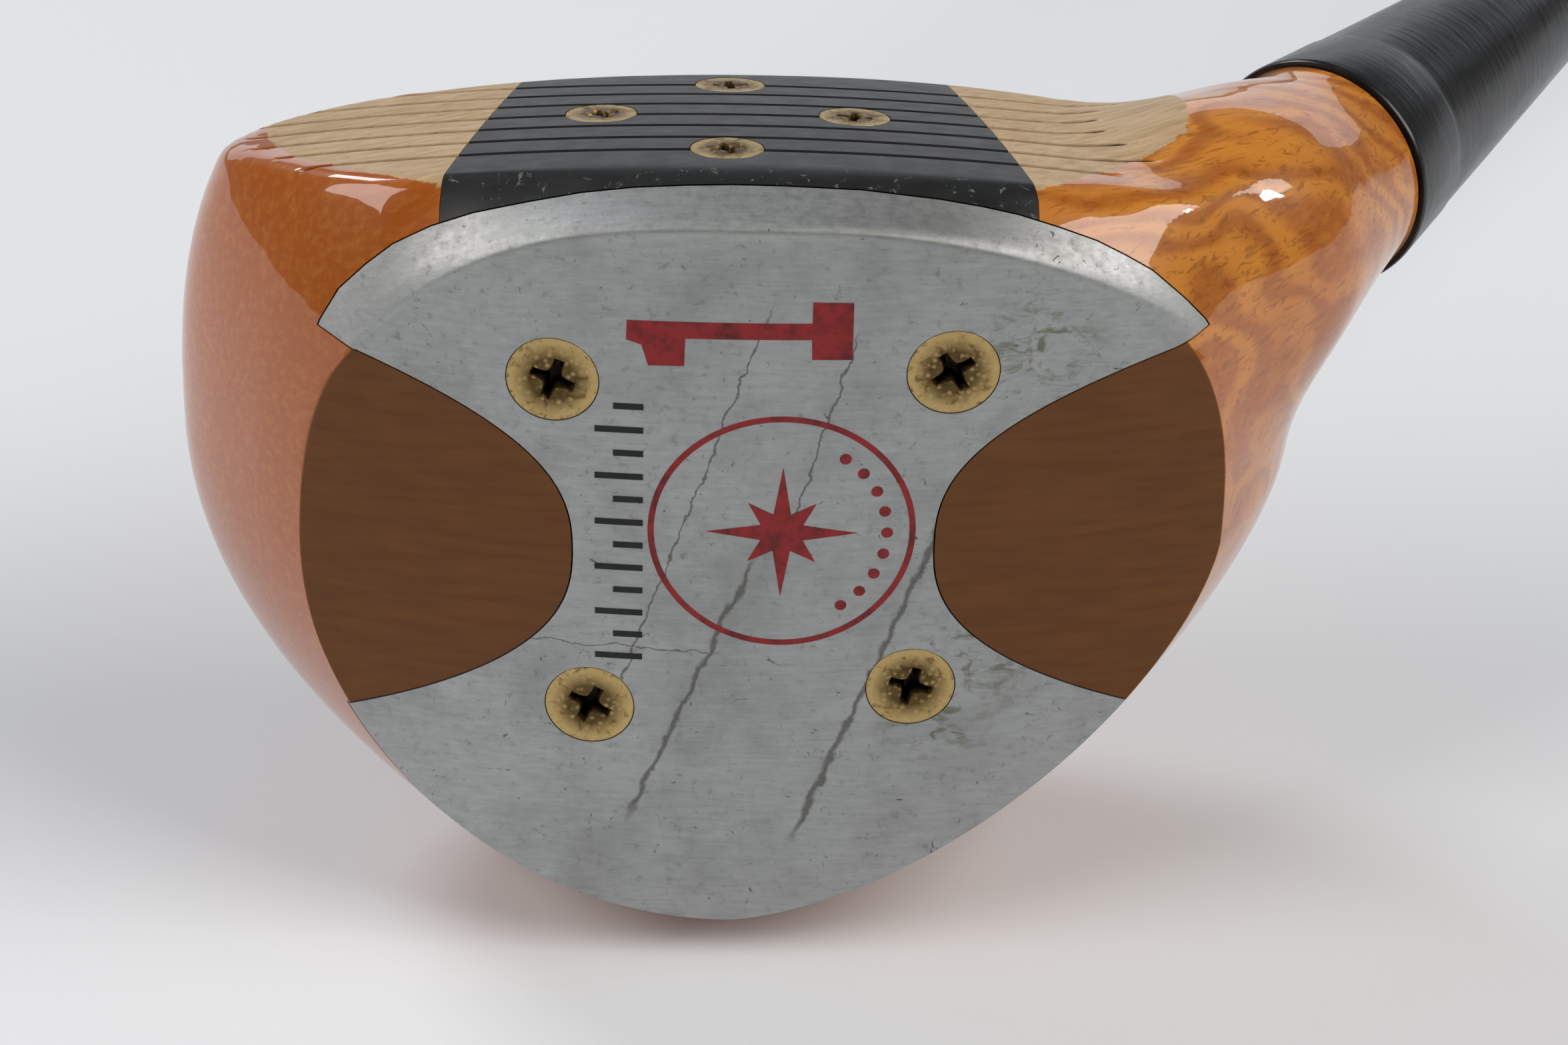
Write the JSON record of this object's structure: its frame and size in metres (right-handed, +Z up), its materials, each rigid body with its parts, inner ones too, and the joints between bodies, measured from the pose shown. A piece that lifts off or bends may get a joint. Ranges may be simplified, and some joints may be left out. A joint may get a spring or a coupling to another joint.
{
  "type": "golf driver",
  "caption": "Right-handed wooden golf driver: carved wood head with black face insert and metal sole plate, stepped steel shaft and rubber grip.",
  "frame": {"origin": "on the floor under the middle of the club's bounding box, with the club lying on the back of its head and the butt of its grip, face up", "axes": "+Z up, the way the face looks; +X towards the heel; +Y from the sole to the crown; the shaft runs off between +X and +Y at the lie angle"},
  "size_m": [0.7148, 0.9029, 0.0782],
  "materials": {
    "stained_wood": "honey stain under gloss varnish",
    "black_insert": "moulded, satin",
    "brass": "pale, brushed and worn",
    "sole_aluminium": "satin, scratched",
    "lead": "dull cast",
    "black_sleeve": "satin black",
    "waxed_thread": "waxed",
    "black_ferrule": "polished",
    "pin_steel": "bright",
    "chromed_steel": "bright chrome plate",
    "cork": "raw",
    "paper_tape": "creped paper",
    "grip_rubber": "moulded, matte"
  },
  "bodies": {
    "root": {"head_block": "stained_wood", "face_insert": "black_insert", "insert_screw_crown": "brass", "insert_screw_sole": "brass", "insert_screw_toe": "brass", "insert_screw_heel": "brass", "sole_plate": "sole_aluminium", "sole_screw_front_toe": "brass", "sole_screw_front_heel": "brass", "sole_screw_back_toe": "brass", "sole_screw_back_heel": "brass", "swing_weight": "lead", "neck_sleeve": "black_sleeve", "whipping": "waxed_thread", "ferrule": "black_ferrule", "neck_pin": "pin_steel", "shaft": "chromed_steel", "tip_plug": "cork", "underlisting_tape": "paper_tape", "grip": "grip_rubber"}
  },
  "joints": []
}
